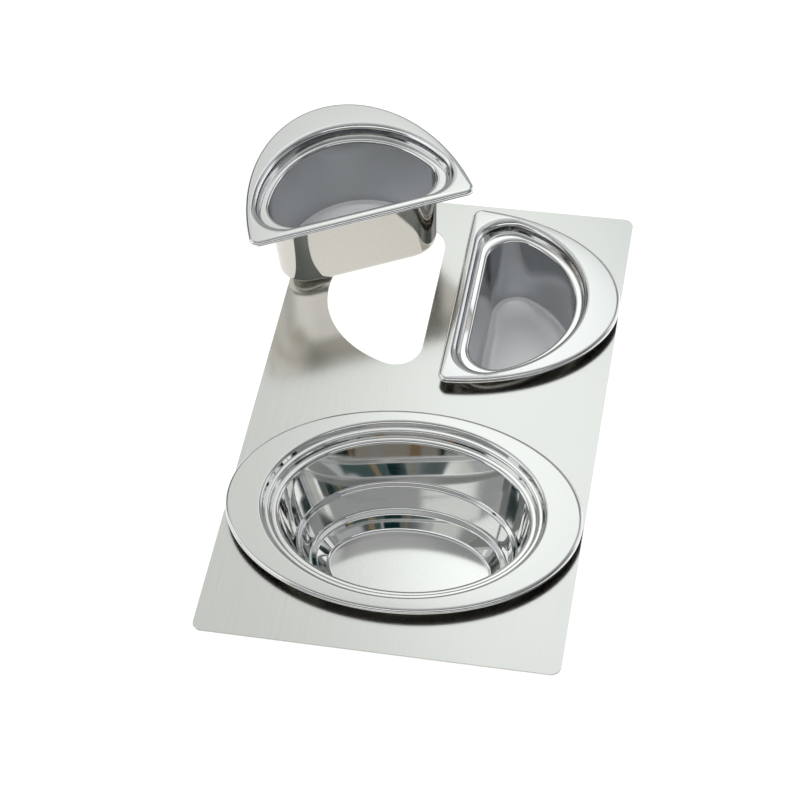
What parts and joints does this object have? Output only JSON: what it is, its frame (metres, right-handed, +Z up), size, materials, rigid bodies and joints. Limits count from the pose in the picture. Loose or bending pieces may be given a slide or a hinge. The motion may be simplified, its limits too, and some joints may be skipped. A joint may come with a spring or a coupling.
{
  "type": "pedicure bath insert set",
  "caption": "Flat stainless insert plate with an oval bowl and half-oval dishes hung in its cut-outs; the bowl and dishes lift out, and one dish stands lifted on the plate.",
  "frame": {"origin": "centre of the plate's flat underside, between the cut-outs", "axes": "+Z up out of the plate, +Y along its long side from the oval bowl towards the half-oval dishes, +X towards the seated half-oval dish"},
  "size_m": [0.3629, 0.5552, 0.1953],
  "materials": {
    "plate_steel": "fine satin grain along the length",
    "bowl_steel": "satin flange, mirror-polished inside",
    "dish_steel": "satin flange and inside, bright outside wall"
  },
  "bodies": {
    "plate": {"insert_plate": "plate_steel"},
    "bowl": {"oval_bowl": "bowl_steel"},
    "dish_right": {"right_dish": "dish_steel"},
    "dish_left": {"left_dish": "dish_steel"}
  },
  "joints": [
    {"name": "bowl_lift", "type": "slide", "parent": "plate", "child": "bowl", "axis": [0, 0, 1], "range_m": [0, 0.11]},
    {"name": "right_dish_lift", "type": "slide", "parent": "plate", "child": "dish_right", "axis": [0, 0, 1], "range_m": [0, 0.085]},
    {"name": "left_dish_lift", "type": "slide", "parent": "plate", "child": "dish_left", "axis": [0, 0, 1], "range_m": [0, 0.12]}
  ]
}
